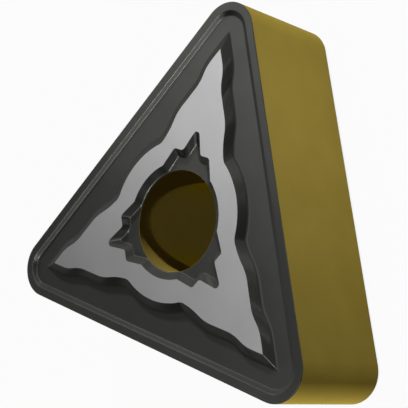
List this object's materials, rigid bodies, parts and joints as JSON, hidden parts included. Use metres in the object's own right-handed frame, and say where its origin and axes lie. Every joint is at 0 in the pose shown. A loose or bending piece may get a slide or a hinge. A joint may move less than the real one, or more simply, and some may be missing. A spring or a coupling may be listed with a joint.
{
  "type": "carbide insert",
  "caption": "Triangular double-sided turning insert with a clamping bore, honed cutting edges, moulded chip breaker grooves and raised ground seat faces.",
  "frame": {"origin": "on the bore's axis, halfway between the two seat faces", "axes": "+Z along the bore's axis, out of one seat face; +Y towards one corner; +X parallel to the flank opposite that corner"},
  "size_m": [0.0148, 0.0131, 0.0048],
  "materials": {
    "coated_carbide": "gold hard coating on flanks and bore, satin black on the chip breaker, bare ground seat"
  },
  "bodies": {
    "root": {"insert_body": "coated_carbide"}
  },
  "joints": []
}
